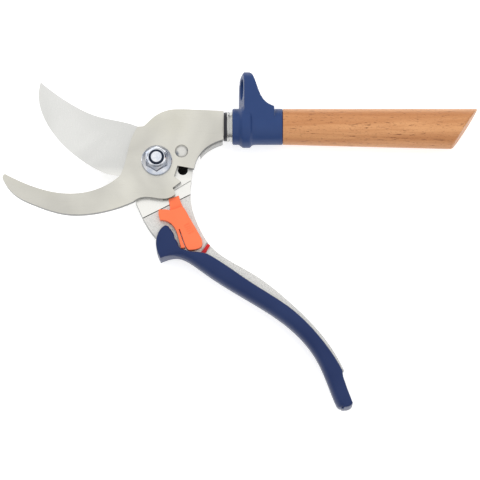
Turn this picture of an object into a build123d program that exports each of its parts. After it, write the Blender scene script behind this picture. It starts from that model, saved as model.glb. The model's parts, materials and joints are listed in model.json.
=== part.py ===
"""Bypass pruning shears with a beech upper handle, lying flat and fully open.

Millimetres. The origin is on the pivot axis, on the plane that the shears rest on. +X runs along
the beech handle, +Z rises along the pivot axis from the bolt's head to its nut. The upper lever
(counter blade, neck, bolster, beech handle) is the fixed one. The lower lever (cutting blade,
aluminium handle, grip) turns about the pivot, and the latch slides on the lower lever.
"""
from math import atan2, cos, degrees, radians, sin, sqrt
import os

from build123d import *

os.makedirs("parts", exist_ok=True)

# ------------------------------------------------------------------ driving dimensions
# Heights of the layers stacked on the pivot, above the resting plane.
HEAD_TOP = 3.0          # bolt head
WASHER_TOP = 3.5        # washer under the lower lever
HUB_BOTTOM = 3.55       # back face of the lower lever's aluminium
HUB_TOP = 7.0           # aluminium face that carries the cutting blade
BLADE_TOP = 9.95        # cutting face of the blade
FACE = 10.0             # front face of the aluminium, back face of the counter blade
PLATE_TOP = 13.2        # front face of the counter blade
LATCH_BOTTOM = 10.06
LATCH_TOP = 13.1
NOSE_TOP = 11.5         # thin nose of the latch, which passes under the counter blade

# Pivot.
BOLT_R = 3.0
BUSH_R = 4.0
RUNNING_FIT = 0.05      # radial clearance of a turning or sliding fit
SEAT_GAP = 0.05         # clearance of a fixed screw or pin in its hole
CLOSING_ANGLE = 41.0    # degrees the lower lever turns from open to closed

# Stop rivet, which ends the closing stroke in a half-round notch of the cutting blade.
RIVET_RADIUS = 12.32    # from the pivot axis
RIVET_ANGLE = 21.7
RIVET_SHANK_R = 1.25
NOTCH_X = 12.02
NOTCH_Y = -3.79
NOTCH_R = 2.35

# Round neck, bolster and handle share one axis, parallel to X.
AXIS_Y = 16.8
AXIS_Z = 10.0
NECK_END = 30.9         # end of the counter blade's flat neck
BOLSTER_START = 34.9
BOLSTER_END = 58.3
BOLSTER_R = 8.4
SPIGOT_R = 6.9          # end of the beech handle, inside the bolster
TANG_END = 76.0
TANG_WIDTH = 10.0
WOOD_END = 152.0        # before the slanted cut
WOOD_END_R = 9.55
WOOD_END_Y = 15.6

# Guard and hanging eye on the bolster, leaning a little out of square.
EYE_X = 41.4
EYE_Y = 34.5
EYE_HOLE_R = 5.0
EYE_OUTER_R = 8.3
EYE_LEAN = 8.5          # degrees

# Safety latch.
LATCH_ANGLE = atan2(0.877, -0.48)   # direction of its slide, radians from +X
LATCH_TRAVEL = 5.0
LATCH_STEM_R = 1.8
LATCH_STEM = (14.9, -32.0)
LATCH_SCREW_R = 0.88

# Grip and aluminium handle.
GRIP_BOTTOM = 0.8
GRIP_TOP = 14.6
GRIP_RIM = 1.5          # rounding of the grip's front rim
SEAM_GAP = 0.4          # open seam between the blade's tang and the aluminium

# Fasteners, as radii of shanks, heads and hexagon sockets.
PIN_R = 1.5             # cross pins through the handle's spigot, and the bracket's screws
BRACKET_HEAD_R = 3.0
BRACKET_HEAD_H = 1.6
BRACKET_SOCKET_R = 1.1
BLADE_SCREW_R = 2.0
BLADE_HEAD_R = 3.8
BLADE_HEAD_H = 1.8
BLADE_SOCKET_R = 1.4
GRIP_SCREW_R = 1.0
GRIP_HEAD_R = 1.6
GRIP_SOCKET_R = 0.7
THROUGH = 20            # longer than any thickness that a hole passes
UPRIGHT = (Align.CENTER, Align.CENTER, Align.MIN)   # cylinder or cone standing on its place


def axis_plane(x):
    """Plane across the handle's axis at x: local x is world Y, local y is world Z."""
    return Plane(origin=(x, AXIS_Y, AXIS_Z), x_dir=(0, 1, 0), z_dir=(1, 0, 0))


def polar(radius, angle):
    """Point at a radius and an angle in degrees about the pivot axis."""
    return (radius * cos(radians(angle)), radius * sin(radians(angle)))


def slide_point(point, travel):
    """Point moved along the latch's slide."""
    return (point[0] + travel * cos(LATCH_ANGLE), point[1] + travel * sin(LATCH_ANGLE))


def save(builder, name):
    """Label a finished piece and write it as one STEP file."""
    builder.part.label = name
    export_step(builder.part, f"parts/{name}.step")


# ------------------------------------------------------------------ fixed lever: counter blade
rivet_at = polar(RIVET_RADIUS, RIVET_ANGLE)
bracket_screws_at = [(25.2, 13.2), (25.2, 20.2)]
pin_xs = [44.0, 53.0]   # cross pins through the handle's spigot and both tangs
BRACKET_HOLE_DEPTH = 2.3
POCKET_CLEARANCE = 0.3
TANG_OVERLAP = 4        # how far a tang reaches back into the neck

with BuildPart() as counter_blade:
    with BuildSketch(Plane.XY.offset(FACE)):
        with BuildLine():
            # Concave inner edge of the hook, from its tip to the throat.
            Spline((-70.1, -6.3), (-57.2, -12.2), (-42.5, -15.5), (-28.4, -13.8), (-16.7, -6.75))
            # Left side, which lies over the cutting blade.
            Spline((-16.7, -6.75), (-14.0, 1.9), (-12.2, 9.2), (-8.9, 16.2))
            Line((-8.9, 16.2), (-6.1, 16.4))
            # Shoulder and flat top of the neck.
            Spline((-6.1, 16.4), (-1.5, 20.8), (5.3, 24.1), (12.9, 24.5), tangents=((1, 0.9), (1, 0)))
            Line((12.9, 24.5), (NECK_END, 23.7))
            ThreePointArc((NECK_END, 23.7), (NECK_END - 0.35, 17.0), (NECK_END, 10.2))
            # Underside of the neck, down to the latch notch.
            Spline(
                (NECK_END, 10.2), (25.2, 7.9), (21.3, 4.9), (18.8, 1.3), (17.2, -3.75),
                tangents=((-1, -0.3), (-0.25, -1)),
            )
            Polyline(
                (17.2, -3.75), (9.6, -2.4), (8.0, -7.4), (11.2, -9.9), (7.4, -12.9), (8.2, -14.1),
                (8.6, -15.9),
            )
            # Wavy bottom edge, then the convex outer edge of the hook.
            Spline((8.6, -15.9), (3.2, -18.0), (-3.9, -17.2), (-10.7, -19.4))
            Spline(
                (-10.7, -19.4), (-27.7, -24.7), (-42.5, -25.1), (-57.2, -20.5), (-71.2, -8.4),
                tangents=((-1, -0.45), (-0.45, 1)),
            )
            ThreePointArc((-71.2, -8.4), (-71.0, -7.0), (-70.1, -6.3))
        make_face()
    extrude(amount=PLATE_TOP - FACE)
    # Tang that runs on through the bolster into the wood.
    with BuildSketch(Plane.XY.offset(FACE)):
        with Locations(((NECK_END - TANG_OVERLAP + TANG_END) / 2, AXIS_Y)):
            Rectangle(TANG_END - NECK_END + TANG_OVERLAP, TANG_WIDTH)
    extrude(amount=PLATE_TOP - FACE)
    # Holes for the cross pins, the bolt, the stop rivet and the bracket's screws (blind).
    with Locations(*[(x, AXIS_Y, FACE) for x in pin_xs]):
        Cylinder(PIN_R + SEAT_GAP, THROUGH, mode=Mode.SUBTRACT)
    with Locations((0, 0, FACE)):
        Cylinder(BOLT_R + SEAT_GAP, THROUGH, mode=Mode.SUBTRACT)
    with Locations((*rivet_at, FACE)):
        Cylinder(RIVET_SHANK_R + SEAT_GAP, THROUGH, mode=Mode.SUBTRACT)
    with Locations(*[(x, y, FACE) for x, y in bracket_screws_at]):
        Cylinder(PIN_R + SEAT_GAP, 2 * BRACKET_HOLE_DEPTH, mode=Mode.SUBTRACT)
    # Shallow pocket in the back face, which the latch's nose enters while the shears are open.
    with BuildSketch(Plane.XY.offset(FACE)):
        with BuildLine():
            Polyline((2.5, -13.2), (7.9, -11.2), (12.2, -19.0), (3.0, -19.6), close=True)
        make_face()
    extrude(amount=NOSE_TOP + POCKET_CLEARANCE - FACE, mode=Mode.SUBTRACT)
save(counter_blade, "counter_blade")

# ------------------------------------------------------------------ fixed lever: upper bracket
BRACKET_ARC_R = 20.3    # clears the lower lever as it swings past
LOWER_TANG_H = 3.4
LOWER_TANG_END = 62.0
LOWER_TANG_OVERLAP = 6
with BuildPart() as upper_bracket:
    with BuildSketch(Plane.XY.offset(HUB_BOTTOM)):
        with BuildLine():
            Polyline((14.0, 23.2), (NECK_END - 0.4, 23.0), (NECK_END - 0.4, 9.6))
            Spline(
                (NECK_END - 0.4, 9.6), (25.0, 7.2), (21.1, 4.1), (18.8, 0.6), (17.9, -2.0),
                tangents=((-1, -0.3), (-0.3, -1)),
            )
            Line((17.9, -2.0), (14.0, -2.0))
            Line((14.0, -2.0), (14.0, 23.2))
        make_face()
        Circle(BRACKET_ARC_R, mode=Mode.SUBTRACT)
    extrude(amount=FACE - HUB_BOTTOM)
    # Tang under the counter blade's own tang.
    with BuildSketch(Plane.XY.offset(FACE - LOWER_TANG_H)):
        with Locations(((NECK_END - LOWER_TANG_OVERLAP + LOWER_TANG_END) / 2, AXIS_Y)):
            Rectangle(LOWER_TANG_END - NECK_END + LOWER_TANG_OVERLAP, TANG_WIDTH)
    extrude(amount=LOWER_TANG_H)
    with Locations(*[(x, AXIS_Y, FACE) for x in pin_xs]):
        Cylinder(PIN_R + SEAT_GAP, THROUGH, mode=Mode.SUBTRACT)
    for x, y in bracket_screws_at:
        with Locations((x, y, FACE)):
            Cylinder(PIN_R + SEAT_GAP, THROUGH, mode=Mode.SUBTRACT)
        with Locations((x, y, HUB_BOTTOM)):
            Cone(BRACKET_HEAD_R + SEAT_GAP, PIN_R, BRACKET_HEAD_H, align=UPRIGHT, mode=Mode.SUBTRACT)
save(upper_bracket, "upper_bracket")

with BuildPart() as bracket_screws:
    for x, y in bracket_screws_at:
        with Locations((x, y, HUB_BOTTOM)):
            Cone(BRACKET_HEAD_R, PIN_R - SEAT_GAP, BRACKET_HEAD_H, align=UPRIGHT)
            Cylinder(PIN_R, FACE + BRACKET_HOLE_DEPTH - HUB_BOTTOM - 0.15, align=UPRIGHT)
            Cylinder(BRACKET_SOCKET_R, 1.2, align=UPRIGHT, mode=Mode.SUBTRACT)
save(bracket_screws, "bracket_screws")

# ------------------------------------------------------------------ stop rivet
DOME_R = 3.05
DOME_H = 1.45
dome_sphere_r = (DOME_R ** 2 + DOME_H ** 2) / (2 * DOME_H)
with BuildPart() as stop_rivet:
    with BuildSketch(Plane(origin=(*rivet_at, 0), x_dir=(1, 0, 0), z_dir=(0, -1, 0))):
        with BuildLine():
            Polyline(
                (0, PLATE_TOP + DOME_H), (0, HUB_TOP + 1.0), (RIVET_SHANK_R, HUB_TOP + 1.0),
                (RIVET_SHANK_R, PLATE_TOP), (DOME_R, PLATE_TOP),
            )
            RadiusArc((DOME_R, PLATE_TOP), (0, PLATE_TOP + DOME_H), -dome_sphere_r)
        make_face()
    revolve(axis=Axis((*rivet_at, 0), (0, 0, 1)))
save(stop_rivet, "stop_rivet")

# ------------------------------------------------------------------ neck seal and collar
TANG_CUT = TANG_WIDTH + 0.4     # width of the way through for both tangs
TANG_CUT_LOW = 6.5
TANG_CUT_HIGH = PLATE_TOP + 0.1


def tang_way(x_from, x_to):
    """Box that both tangs pass through, for cutting from a piece round them."""
    return Pos((x_from + x_to) / 2, AXIS_Y, (TANG_CUT_LOW + TANG_CUT_HIGH) / 2) * Box(
        x_to - x_from, TANG_CUT, TANG_CUT_HIGH - TANG_CUT_LOW, mode=Mode.PRIVATE
    )


SEAL_START = NECK_END + 0.05
COLLAR_START = 32.5
COLLAR_R = 7.1
SEAL_R = 6.75
with BuildPart() as neck_seal:
    with BuildSketch(axis_plane(SEAL_START)):
        Circle(SEAL_R)
    extrude(amount=COLLAR_START - SEAL_START)
    fillet(neck_seal.faces().sort_by(Axis.X)[0].edges(), 0.6)
    add(tang_way(SEAL_START - 1, COLLAR_START + 1), mode=Mode.SUBTRACT)
save(neck_seal, "neck_seal")

with BuildPart() as neck_collar:
    with BuildSketch(Plane(origin=(0, AXIS_Y, AXIS_Z), x_dir=(1, 0, 0), z_dir=(0, 0, 1))):
        with BuildLine():
            Polyline(
                (COLLAR_START, 0), (COLLAR_START, COLLAR_R - 0.2), (COLLAR_START + 0.3, COLLAR_R),
                (COLLAR_START + 0.8, COLLAR_R), (COLLAR_START + 1.1, COLLAR_R - 0.3),
                (COLLAR_START + 1.7, COLLAR_R - 0.3), (COLLAR_START + 2.0, COLLAR_R),
                (BOLSTER_START, COLLAR_R), (BOLSTER_START, 0), close=True,
            )
        make_face()
    revolve(axis=Axis((0, AXIS_Y, AXIS_Z), (1, 0, 0)))
    add(tang_way(COLLAR_START - 1, BOLSTER_START + 1), mode=Mode.SUBTRACT)
save(neck_collar, "neck_collar")

# ------------------------------------------------------------------ bolster with its guard eye
BEAD_START = 39.6
BEAD_END = 43.6
BEAD_R = 9.8
lean = radians(EYE_LEAN)
eye_plane = Plane(
    origin=(EYE_X, 0, AXIS_Z), x_dir=(cos(lean), 0, -sin(lean)), z_dir=(sin(lean), 0, cos(lean)),
)

with BuildPart() as guard_outline:
    # Side shape of the guard: upright front, long concave fairing down to the barrel behind.
    with BuildSketch(eye_plane):
        with BuildLine():
            Line((-2.2, AXIS_Y), (-2.2, 39.6))
            Spline((-2.2, 39.6), (0.1, 43.0), (2.4, 39.8), tangents=((0, 1), (0.25, -1)))
            Spline((2.4, 39.8), (3.9, 34.3), (6.2, 28.9), (11.6, 25.0), tangents=((0.25, -1), (1, -0.25)))
            Polyline((11.6, 25.0), (11.6, AXIS_Y), (-2.2, AXIS_Y))
        make_face()
    extrude(amount=12, both=True)
    # Front shape of the guard: an arch as wide as the barrel.
    with BuildSketch(Plane(origin=(EYE_X - 15, 0, AXIS_Z), x_dir=(0, 1, 0), z_dir=(1, 0, 0))):
        with Locations(((AXIS_Y + EYE_Y) / 2, 0)):
            Rectangle(EYE_Y - AXIS_Y, 2 * EYE_OUTER_R)
        with Locations((EYE_Y, 0)):
            Circle(EYE_OUTER_R)
    extrude(amount=40, mode=Mode.INTERSECT)

with BuildPart() as bolster:
    # Barrel with its raised bead.
    with BuildSketch(Plane(origin=(0, AXIS_Y, AXIS_Z), x_dir=(1, 0, 0), z_dir=(0, 0, 1))):
        with BuildLine():
            Polyline(
                (BOLSTER_START, 0), (BOLSTER_START, BOLSTER_R - 0.4), (BOLSTER_START + 0.4, BOLSTER_R),
                (BEAD_START - 1.6, BOLSTER_R), (BEAD_START, BEAD_R - 0.1), (BEAD_START + 0.6, BEAD_R),
                (BEAD_END - 0.6, BEAD_R), (BEAD_END, BEAD_R - 0.4), (BEAD_END + 0.4, BOLSTER_R + 0.25),
                (BEAD_END + 2.0, BOLSTER_R), (BOLSTER_END - 0.3, BOLSTER_R), (BOLSTER_END, BOLSTER_R - 0.3),
                (BOLSTER_END, 0), close=True,
            )
        make_face()
    revolve(axis=Axis((0, AXIS_Y, AXIS_Z), (1, 0, 0)))
    add(guard_outline.part)
    # Hanging eye through the guard.
    eye_axis_plane = Plane(
        origin=(EYE_X, EYE_Y, AXIS_Z), x_dir=(0, 1, 0), z_dir=(cos(lean), 0, -sin(lean)),
    )
    with BuildSketch(eye_axis_plane):
        Circle(EYE_HOLE_R)
    extrude(amount=25, both=True, mode=Mode.SUBTRACT)
    # Bore for the handle's spigot, and the way through for the tangs.
    with BuildSketch(axis_plane(BOLSTER_START + 1.6)):
        Circle(SPIGOT_R + SEAT_GAP)
    extrude(amount=BOLSTER_END - BOLSTER_START, mode=Mode.SUBTRACT)
    add(tang_way(BOLSTER_START - 1, BOLSTER_START + 3), mode=Mode.SUBTRACT)
save(bolster, "bolster")

# ------------------------------------------------------------------ beech handle and its pins
with BuildPart() as beech_handle:
    # Body, round and swelling slightly towards the end.
    with BuildSketch(axis_plane(BOLSTER_END + 0.1)):
        Circle(BOLSTER_R - 0.05)
    with BuildSketch(Plane(origin=(WOOD_END, WOOD_END_Y, AXIS_Z), x_dir=(0, 1, 0), z_dir=(1, 0, 0))):
        Circle(WOOD_END_R)
    loft()
    # Slanted end cut, seen along the resting plane's normal.
    with BuildSketch(Plane.XY):
        with BuildLine():
            Polyline((135.1, 4.0), (150.2, 27.0), (170, 27.0), (170, 4.0), close=True)
        make_face()
    extrude(amount=30, mode=Mode.SUBTRACT)
    chamfer(beech_handle.edges().group_by(Axis.X)[-1], 0.5)
    # Spigot inside the bolster.
    with BuildSketch(axis_plane(BOLSTER_START + 1.8)):
        Circle(SPIGOT_R)
    extrude(amount=BOLSTER_END - BOLSTER_START - 1.0)
    # Slot that both tangs are pressed into, and the holes of the cross pins.
    add(tang_way(BOLSTER_START - 2, TANG_END + 0.5), mode=Mode.SUBTRACT)
    with Locations(*[(x, AXIS_Y, AXIS_Z) for x in pin_xs]):
        Cylinder(PIN_R + SEAT_GAP, 2 * SPIGOT_R, mode=Mode.SUBTRACT)
save(beech_handle, "beech_handle")

with BuildPart() as tang_pins:
    with Locations(*[(x, AXIS_Y, AXIS_Z) for x in pin_xs]):
        Cylinder(PIN_R, 2 * SPIGOT_R - 2.0)
save(tang_pins, "tang_pins")

# ------------------------------------------------------------------ pivot: bolt, nut, bush, washer, spring
NUT_FLANGE_R = 7.1
NUT_ACROSS_FLATS = 10.0
NUT_HEX_TOP = 19.0
NUT_TOP = 20.8
BOLT_END = 21.4
CROWN_R = 4.4           # round collar of the nut, which holds the nylon ring
RING_R = 3.6
BOLT_HEAD_R = 6.5
WASHER_R = 7.5

with BuildPart() as pivot_bolt:
    # Low pan head, flat underneath, with a hexagon socket.
    with BuildSketch(Plane.XY):
        Circle(BOLT_HEAD_R)
    extrude(amount=HEAD_TOP)
    fillet(pivot_bolt.edges().group_by(Axis.Z)[0], 0.5)
    with BuildSketch(Plane.XY):
        RegularPolygon(2.0, 6, major_radius=False)
    extrude(amount=2.2, mode=Mode.SUBTRACT)
    with BuildSketch(Plane.XY.offset(HEAD_TOP)):
        Circle(BOLT_R)
    extrude(amount=BOLT_END - HEAD_TOP)
    chamfer(pivot_bolt.edges().group_by(Axis.Z)[-1], 0.55)
save(pivot_bolt, "pivot_bolt")

with BuildPart() as pivot_washer:
    with BuildSketch(Plane.XY.offset(HEAD_TOP)):
        Circle(WASHER_R)
        Circle(BOLT_R + SEAT_GAP, mode=Mode.SUBTRACT)
    extrude(amount=WASHER_TOP - HEAD_TOP)
save(pivot_washer, "pivot_washer")

with BuildPart() as pivot_bush:
    with BuildSketch(Plane.XY.offset(WASHER_TOP)):
        Circle(BUSH_R)
        Circle(BOLT_R + SEAT_GAP, mode=Mode.SUBTRACT)
    extrude(amount=FACE - WASHER_TOP)
save(pivot_bush, "pivot_bush")

with BuildPart() as pivot_nut:
    # Conical flange and the round collar above the hexagon.
    with BuildSketch(Plane.XZ):
        with BuildLine():
            Polyline(
                (0, PLATE_TOP), (NUT_FLANGE_R - 0.2, PLATE_TOP), (NUT_FLANGE_R, PLATE_TOP + 0.3),
                (NUT_FLANGE_R, PLATE_TOP + 0.9), (NUT_FLANGE_R - 0.3, PLATE_TOP + 1.2),
                (5.0, PLATE_TOP + 2.6), (4.6, NUT_HEX_TOP + 0.2), (CROWN_R, NUT_TOP - 0.6),
                (CROWN_R - 0.5, NUT_TOP), (0, NUT_TOP),
                close=True,
            )
        make_face()
    revolve(axis=Axis.Z)
    # Hexagon, its corners rounded off at the top by a cone.
    with BuildSketch(Plane.XY.offset(PLATE_TOP + 1.0)):
        RegularPolygon(NUT_ACROSS_FLATS / 2, 6, major_radius=False, rotation=90)
    extrude(amount=NUT_HEX_TOP - PLATE_TOP - 1.0)
    with BuildSketch(Plane.XY.offset(NUT_HEX_TOP - 1.4)):
        Circle(9)
        Circle(6.1, mode=Mode.SUBTRACT)
    extrude(amount=2.0, taper=-45, mode=Mode.SUBTRACT)
    with BuildSketch(Plane.XY.offset(PLATE_TOP)):
        Circle(BOLT_R + SEAT_GAP)
    extrude(amount=NUT_TOP - PLATE_TOP, mode=Mode.SUBTRACT)
    with BuildSketch(Plane.XY.offset(NUT_HEX_TOP - 0.4)):
        Circle(RING_R)
    extrude(amount=NUT_TOP - NUT_HEX_TOP + 0.4, mode=Mode.SUBTRACT)
save(pivot_nut, "pivot_nut")

with BuildPart() as nut_ring:
    with BuildSketch(Plane.XY.offset(NUT_HEX_TOP - 0.35)):
        Circle(RING_R - 0.02)
        Circle(BOLT_R + 0.02, mode=Mode.SUBTRACT)
    extrude(amount=NUT_TOP - 0.25 - NUT_HEX_TOP + 0.35)
save(nut_ring, "nut_ring")

# Flat spiral spring hidden in the lower lever's hub: it pushes the levers open.
SPRING_INNER_R = BUSH_R + 0.9
SPRING_PITCH = 1.35
SPRING_HALF_TURNS = 5
SPRING_Z = HUB_BOTTOM + 1.0
SPRING_H = 2.1
with BuildPart() as return_spring:
    with BuildSketch(Plane.XY.offset(SPRING_Z)):
        with BuildLine():
            # Half turns about two centres in turn, each wider than the last by half the pitch.
            for turn in range(SPRING_HALF_TURNS):
                centre_x = SPRING_PITCH / 4 if turn % 2 else -SPRING_PITCH / 4
                CenterArc((centre_x, 0), SPRING_INNER_R + turn * SPRING_PITCH / 2, 180 * turn, 180)
        trace(line_width=0.7)
        # Inner end, hooked against the bush.
        with Locations((SPRING_INNER_R - 0.6, 0.1)):
            Rectangle(1.0, 0.7)
        Circle(BUSH_R, mode=Mode.SUBTRACT)
    extrude(amount=SPRING_H)
save(return_spring, "return_spring")

# ------------------------------------------------------------------ lower lever: cutting blade
SEAM_LEFT = (-6.35, -26.3)
SEAM_RIGHT = (15.6, -15.1)
seam_angle = atan2(SEAM_RIGHT[1] - SEAM_LEFT[1], SEAM_RIGHT[0] - SEAM_LEFT[0])
blade_screws_at = [(-3.2, -20.6), (6.4, -15.6)]
grip_screws_at = [(38.2, -56.8), (66.0, -76.6)]
HUB_R = 10.3            # lets the stop rivet's shank pass outside it
BEVEL_BACK = 6.5        # width of the ground bevel on the hidden face
EDGE_THICKNESS = 0.12   # left at the sharp edge
LINE_START = (7.2, -14.1)
LINE_END = (15.7, -8.9)
LINE_WIDTH = 0.4
LINE_DEPTH = 0.8
LINE_LENGTH = sqrt((LINE_END[0] - LINE_START[0]) ** 2 + (LINE_END[1] - LINE_START[1]) ** 2)
line_middle = ((LINE_START[0] + LINE_END[0]) / 2, (LINE_START[1] + LINE_END[1]) / 2)
line_angle = atan2(LINE_END[1] - LINE_START[1], LINE_END[0] - LINE_START[0])
notch_left = (NOTCH_X - NOTCH_R, NOTCH_Y)
notch_right = (NOTCH_X + NOTCH_R, NOTCH_Y)
hub_start = (sqrt(HUB_R ** 2 - 2.4 ** 2), -2.4)
hub_end = polar(HUB_R, 72)

with BuildPart() as cutting_blade:
    with BuildSketch(Plane.XY.offset(HUB_TOP)):
        with BuildLine():
            # Curved spine from the hub to the tip.
            Line(hub_start, notch_left)
            ThreePointArc(hub_start, (HUB_R, 0), hub_end)
            Spline(
                hub_end, (-9.3, 17.1), (-27.7, 21.8), (-42.5, 29.3), (-54.4, 38.3),
                tangents=((-1, 0.5), (-1, 0.86)),
            )
            # Cutting edge, convex, from the tip down under the counter blade.
            Spline(
                (-54.4, 38.3), (-55.1, 29.7), (-49.8, 16.1), (-35.1, 1.1), (-17.6, -6.4), (-10.6, -12.5),
                tangents=((-0.25, -1), (0.3, -1)),
            )
            # Tang, as far as the seam with the aluminium.
            Polyline(
                (-10.6, -12.5), (-9.75, -18.9), SEAM_LEFT, SEAM_RIGHT, (15.6, -11.4), (16.0, -8.7),
                (16.6, -3.6), (16.1, -1.6), (14.7, -1.6), notch_right,
            )
            ThreePointArc(notch_right, (NOTCH_X, NOTCH_Y - NOTCH_R), notch_left)
        make_face()
    extrude(amount=BLADE_TOP - HUB_TOP)
    with Locations((0, 0, HUB_TOP)):
        Cylinder(BUSH_R + RUNNING_FIT, THROUGH, mode=Mode.SUBTRACT)
    with Locations(*[(x, y, HUB_TOP) for x, y in blade_screws_at]):
        Cylinder(BLADE_SCREW_R + SEAT_GAP, 4.4, mode=Mode.SUBTRACT)
    # Scribed line across the tang, under the latch notch.
    with BuildSketch(Plane.XY.offset(BLADE_TOP - LINE_DEPTH)):
        with Locations(Location((*line_middle, 0), (0, 0, degrees(line_angle)))):
            Rectangle(LINE_LENGTH, LINE_WIDTH)
    extrude(amount=1, mode=Mode.SUBTRACT)
    # Ground bevel on the back, ending in a sharp edge at the front face.
    cutting_edge = cutting_blade.faces().sort_by(Axis.Z)[0].edges().sort_by(Edge.length)
    bevel_edge = [e for e in cutting_edge if (e @ 0.5).X < -30 and (e @ 0.5).Y < 12]
    back_face = cutting_blade.faces().sort_by(Axis.Z)[0]
    chamfer(bevel_edge, BEVEL_BACK, BLADE_TOP - HUB_TOP - EDGE_THICKNESS, reference=back_face)
save(cutting_blade, "cutting_blade")

# Elastomer cushion in the notch, hollowed out along the stop rivet's path.
CUSHION_FLOOR = HUB_TOP + 0.7
with BuildPart() as stop_cushion:
    with BuildSketch(Plane.XY.offset(HUB_TOP)):
        with Locations((NOTCH_X, NOTCH_Y)):
            Circle(NOTCH_R - 0.03)
        Circle(HUB_R + 0.2, mode=Mode.SUBTRACT)
    extrude(amount=BLADE_TOP - 0.5 - HUB_TOP)
    with BuildSketch(Plane.XY.offset(CUSHION_FLOOR)):
        with BuildLine(mode=Mode.PRIVATE) as rivet_path:
            CenterArc((0, 0), RIVET_RADIUS, RIVET_ANGLE - CLOSING_ANGLE, 25)
        SlotArc(rivet_path.edges()[0], 2 * (RIVET_SHANK_R + 0.2))
    extrude(amount=5, mode=Mode.SUBTRACT)
save(stop_cushion, "stop_cushion")

# ------------------------------------------------------------------ lower lever: aluminium handle
SPRING_RECESS_R = SPRING_INNER_R + SPRING_HALF_TURNS * SPRING_PITCH / 2 + 1.2
seam_normal = (sin(seam_angle), -cos(seam_angle))


def below_seam(point, distance):
    """Point moved off the seam line, away from the blade."""
    return (point[0] + distance * seam_normal[0], point[1] + distance * seam_normal[1])


MARK_DEPTH = 0.6
# Inner edge of the arm, the side nearest the beech handle.
INNER_EDGE = [
    (15.6, -15.1), (16.1, -20.6), (19.8, -31.3), (24.4, -39.0), (43.4, -52.1), (62.9, -67.4), (76.8, -82.2),
    (86.0, -97.6),
]

with BuildPart() as lower_handle:
    # Flat arm: hub, head under the latch, and the long curved handle that the grip wraps.
    with BuildSketch(Plane.XY.offset(HUB_BOTTOM)):
        with BuildLine():
            Polyline((-9.9, -11.0), (-9.75, -18.9), SEAM_LEFT)
            Spline(SEAM_LEFT, (-2.7, -32.5), (2.6, -38.2), (12.0, -43.6))
            Spline((12.0, -43.6), (31.0, -54.2), (53.0, -67.6), (69.5, -81.5), (79.5, -97.0), (84.6, -110.0))
            Line((84.6, -110.0), (87.2, -109.0))
            Spline((87.2, -109.0), (83.6, -98.8), INNER_EDGE[-1], tangents=((-0.3, 1), (1, 0.1)))
            Spline(*reversed(INNER_EDGE))
            Polyline(INNER_EDGE[0], (15.6, -11.4), (16.0, -8.7), (10.3, 0), (-9.9, -11.0))
        make_face()
        Circle(11.0)
    extrude(amount=FACE - HUB_BOTTOM)
    # Step down to the face that carries the blade, with an open seam along the blade's tang.
    with BuildSketch(Plane.XY.offset(HUB_TOP)):
        with BuildLine():
            Polyline(
                below_seam(SEAM_LEFT, SEAM_GAP), below_seam((-20, SEAM_LEFT[1]), SEAM_GAP),
                (-20, 20), (30, 20), (30, SEAM_RIGHT[1]), below_seam(SEAM_RIGHT, SEAM_GAP), close=True,
            )
        make_face()
    extrude(amount=5, mode=Mode.SUBTRACT)
    # Bearing hole and the recess of the spiral spring.
    with Locations((0, 0, HUB_BOTTOM)):
        Cylinder(BUSH_R + RUNNING_FIT, THROUGH, mode=Mode.SUBTRACT)
    with BuildSketch(Plane.XY.offset(SPRING_Z - 0.2)):
        Circle(SPRING_RECESS_R)
    extrude(amount=5, mode=Mode.SUBTRACT)
    # Screw holes, countersunk at the back.
    for x, y in blade_screws_at:
        with Locations((x, y, HUB_BOTTOM)):
            Cylinder(BLADE_SCREW_R + SEAT_GAP, THROUGH, mode=Mode.SUBTRACT)
            Cone(
                BLADE_HEAD_R + SEAT_GAP, BLADE_SCREW_R + SEAT_GAP, BLADE_HEAD_H,
                align=UPRIGHT, mode=Mode.SUBTRACT,
            )
    with Locations(*[(x, y, HUB_BOTTOM) for x, y in grip_screws_at]):
        Cylinder(GRIP_SCREW_R + SEAT_GAP, 2 * 5.4, mode=Mode.SUBTRACT)
    # Slot of the latch's stem.
    slot_middle = slide_point(LATCH_STEM, LATCH_TRAVEL / 2)
    with BuildSketch(Plane.XY.offset(HUB_BOTTOM)):
        with Locations(Location((*slot_middle, 0), (0, 0, degrees(LATCH_ANGLE)))):
            SlotCenterToCenter(LATCH_TRAVEL + 0.2, 2 * (LATCH_STEM_R + RUNNING_FIT))
    extrude(amount=20, mode=Mode.SUBTRACT)
    # Shallow bed of the red mark, across the visible strip.
    with BuildSketch(Plane.XY.offset(FACE - MARK_DEPTH)):
        with BuildLine():
            Polyline((20.2, -42.7), (22.5, -44.2), (26.2, -39.6), (25.2, -38.3), (23.2, -38.0), close=True)
        make_face()
    extrude(amount=1, mode=Mode.SUBTRACT)
save(lower_handle, "lower_handle")

with BuildPart() as lock_mark:
    with BuildSketch(Plane.XY.offset(FACE - MARK_DEPTH)):
        with BuildLine():
            Polyline((20.5, -42.6), (22.3, -43.4), (24.75, -39.3), (23.6, -38.5), close=True)
        make_face()
    extrude(amount=MARK_DEPTH + 0.05)
save(lock_mark, "lock_mark")

with BuildPart() as blade_screws:
    for x, y in blade_screws_at:
        with Locations((x, y, HUB_BOTTOM)):
            Cone(BLADE_HEAD_R, BLADE_SCREW_R, BLADE_HEAD_H, align=UPRIGHT)
            Cylinder(BLADE_SCREW_R, 5.5, align=UPRIGHT)
            Cylinder(BLADE_SOCKET_R, 1.5, align=UPRIGHT, mode=Mode.SUBTRACT)
save(blade_screws, "blade_screws")

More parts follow.
